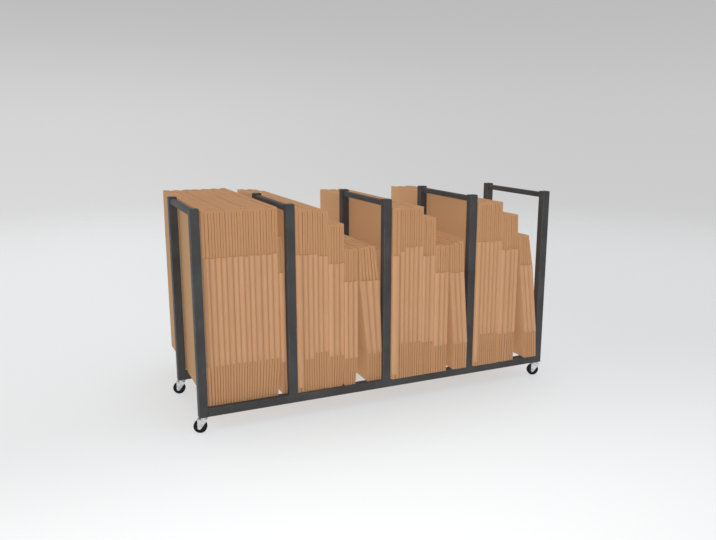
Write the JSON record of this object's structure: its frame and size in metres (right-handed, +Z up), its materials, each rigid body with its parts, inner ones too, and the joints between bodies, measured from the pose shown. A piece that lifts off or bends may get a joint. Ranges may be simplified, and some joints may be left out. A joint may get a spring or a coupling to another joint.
{
  "type": "sheet cart",
  "caption": "Square-tube trolley on swivel casters; inverted-U dividers form open bays that hold flattened cartons standing on edge, and the carton stacks lift out.",
  "frame": {"origin": "on the floor, under the middle of the whole part's box with its carton load", "axes": "+X along the cart's length towards its right end, +Y from front to rear, +Z up"},
  "size_m": [1.8636, 1.022, 0.995],
  "materials": {
    "frame_paint": "charcoal powder coat, fine texture, satin",
    "cap_plastic": "moulded black-grey plastic, fine grain",
    "socket_steel": "plain steel plate",
    "zinc_steel": "bright zinc plated pressed steel",
    "hub_plastic": "black moulded plastic",
    "tyre_rubber": "black rubber, slightly scuffed tread",
    "carton_board": "brown kraft corrugated board, matt"
  },
  "bodies": {
    "frame": {"front_rail": "frame_paint", "front_post_1": "frame_paint", "front_post_2": "frame_paint", "front_post_3": "frame_paint", "front_post_4": "frame_paint", "front_post_5": "frame_paint", "rear_rail": "frame_paint", "rear_post_1": "frame_paint", "rear_post_2": "frame_paint", "rear_post_3": "frame_paint", "rear_post_4": "frame_paint", "rear_post_5": "frame_paint", "top_rail_1": "frame_paint", "top_rail_2": "frame_paint", "top_rail_3": "frame_paint", "top_rail_4": "frame_paint", "top_rail_5": "frame_paint", "post_caps": "cap_plastic", "caster_sockets": "socket_steel", "caster_front_left_stem": "zinc_steel", "caster_front_right_stem": "zinc_steel", "caster_rear_left_stem": "zinc_steel", "caster_rear_right_stem": "zinc_steel"},
    "swivel_front_left": {"caster_front_left_fork": "zinc_steel", "caster_front_left_bearing": "zinc_steel", "caster_front_left_axle": "zinc_steel"},
    "wheel_front_left": {"caster_front_left_hub": "hub_plastic", "caster_front_left_tyre": "tyre_rubber"},
    "swivel_front_right": {"caster_front_right_fork": "zinc_steel", "caster_front_right_bearing": "zinc_steel", "caster_front_right_axle": "zinc_steel"},
    "wheel_front_right": {"caster_front_right_hub": "hub_plastic", "caster_front_right_tyre": "tyre_rubber"},
    "swivel_rear_left": {"caster_rear_left_fork": "zinc_steel", "caster_rear_left_bearing": "zinc_steel", "caster_rear_left_axle": "zinc_steel"},
    "wheel_rear_left": {"caster_rear_left_hub": "hub_plastic", "caster_rear_left_tyre": "tyre_rubber"},
    "swivel_rear_right": {"caster_rear_right_fork": "zinc_steel", "caster_rear_right_bearing": "zinc_steel", "caster_rear_right_axle": "zinc_steel"},
    "wheel_rear_right": {"caster_rear_right_hub": "hub_plastic", "caster_rear_right_tyre": "tyre_rubber"},
    "cartons_bay1_large": {"cartons_bay1_large": "carton_board"},
    "cartons_bay1_leaning": {"cartons_bay1_leaning": "carton_board"},
    "cartons_bay2_tall": {"cartons_bay2_tall": "carton_board"},
    "cartons_bay2_medium": {"cartons_bay2_medium": "carton_board"},
    "cartons_bay2_short": {"cartons_bay2_short": "carton_board"},
    "cartons_bay2_leaning": {"cartons_bay2_leaning": "carton_board"},
    "cartons_bay3_tall": {"cartons_bay3_tall": "carton_board"},
    "cartons_bay3_medium": {"cartons_bay3_medium": "carton_board"},
    "cartons_bay3_short": {"cartons_bay3_short": "carton_board"},
    "cartons_bay3_leaning": {"cartons_bay3_leaning": "carton_board"},
    "cartons_bay4_tall": {"cartons_bay4_tall": "carton_board"},
    "cartons_bay4_medium": {"cartons_bay4_medium": "carton_board"},
    "cartons_bay4_leaning": {"cartons_bay4_leaning": "carton_board"}
  },
  "joints": [
    {"name": "front_left_swivel", "type": "hinge", "parent": "frame", "child": "swivel_front_left", "pos_m": [-0.88818, -0.4755, 0.075], "axis": [0, 0, 1], "continuous": true},
    {"name": "front_left_roll", "type": "hinge", "parent": "swivel_front_left", "child": "wheel_front_left", "pos_m": [-0.90134, -0.47071, 0.03], "axis": [0.342, 0.9397, 0], "continuous": true},
    {"name": "front_right_swivel", "type": "hinge", "parent": "frame", "child": "swivel_front_right", "pos_m": [0.91182, -0.4755, 0.075], "axis": [0, 0, 1], "continuous": true},
    {"name": "front_right_roll", "type": "hinge", "parent": "swivel_front_right", "child": "wheel_front_right", "pos_m": [0.89866, -0.47071, 0.03], "axis": [0.342, 0.9397, 0], "continuous": true},
    {"name": "rear_left_swivel", "type": "hinge", "parent": "frame", "child": "swivel_rear_left", "pos_m": [-0.88818, 0.0295, 0.075], "axis": [0, 0, 1], "continuous": true},
    {"name": "rear_left_roll", "type": "hinge", "parent": "swivel_rear_left", "child": "wheel_rear_left", "pos_m": [-0.90134, 0.03429, 0.03], "axis": [0.342, 0.9397, 0], "continuous": true},
    {"name": "rear_right_swivel", "type": "hinge", "parent": "frame", "child": "swivel_rear_right", "pos_m": [0.91182, 0.0295, 0.075], "axis": [0, 0, 1], "continuous": true},
    {"name": "rear_right_roll", "type": "hinge", "parent": "swivel_rear_right", "child": "wheel_rear_right", "pos_m": [0.89866, 0.03429, 0.03], "axis": [0.342, 0.9397, 0], "continuous": true},
    {"name": "lift_bay1_large", "type": "slide", "parent": "frame", "child": "cartons_bay1_large", "axis": [0, 0, 1], "range_m": [0, 0.9]},
    {"name": "lift_bay1_leaning", "type": "slide", "parent": "frame", "child": "cartons_bay1_leaning", "axis": [0, 0, 1], "range_m": [0, 0.9]},
    {"name": "lift_bay2_tall", "type": "slide", "parent": "frame", "child": "cartons_bay2_tall", "axis": [0, 0, 1], "range_m": [0, 0.9]},
    {"name": "lift_bay2_medium", "type": "slide", "parent": "frame", "child": "cartons_bay2_medium", "axis": [0, 0, 1], "range_m": [0, 0.9]},
    {"name": "lift_bay2_short", "type": "slide", "parent": "frame", "child": "cartons_bay2_short", "axis": [0, 0, 1], "range_m": [0, 0.9]},
    {"name": "lift_bay2_leaning", "type": "slide", "parent": "frame", "child": "cartons_bay2_leaning", "axis": [0, 0, 1], "range_m": [0, 0.9]},
    {"name": "lift_bay3_tall", "type": "slide", "parent": "frame", "child": "cartons_bay3_tall", "axis": [0, 0, 1], "range_m": [0, 0.9]},
    {"name": "lift_bay3_medium", "type": "slide", "parent": "frame", "child": "cartons_bay3_medium", "axis": [0, 0, 1], "range_m": [0, 0.9]},
    {"name": "lift_bay3_short", "type": "slide", "parent": "frame", "child": "cartons_bay3_short", "axis": [0, 0, 1], "range_m": [0, 0.9]},
    {"name": "lift_bay3_leaning", "type": "slide", "parent": "frame", "child": "cartons_bay3_leaning", "axis": [0, 0, 1], "range_m": [0, 0.9]},
    {"name": "lift_bay4_tall", "type": "slide", "parent": "frame", "child": "cartons_bay4_tall", "axis": [0, 0, 1], "range_m": [0, 0.9]},
    {"name": "lift_bay4_medium", "type": "slide", "parent": "frame", "child": "cartons_bay4_medium", "axis": [0, 0, 1], "range_m": [0, 0.9]},
    {"name": "lift_bay4_leaning", "type": "slide", "parent": "frame", "child": "cartons_bay4_leaning", "axis": [0, 0, 1], "range_m": [0, 0.9]}
  ]
}
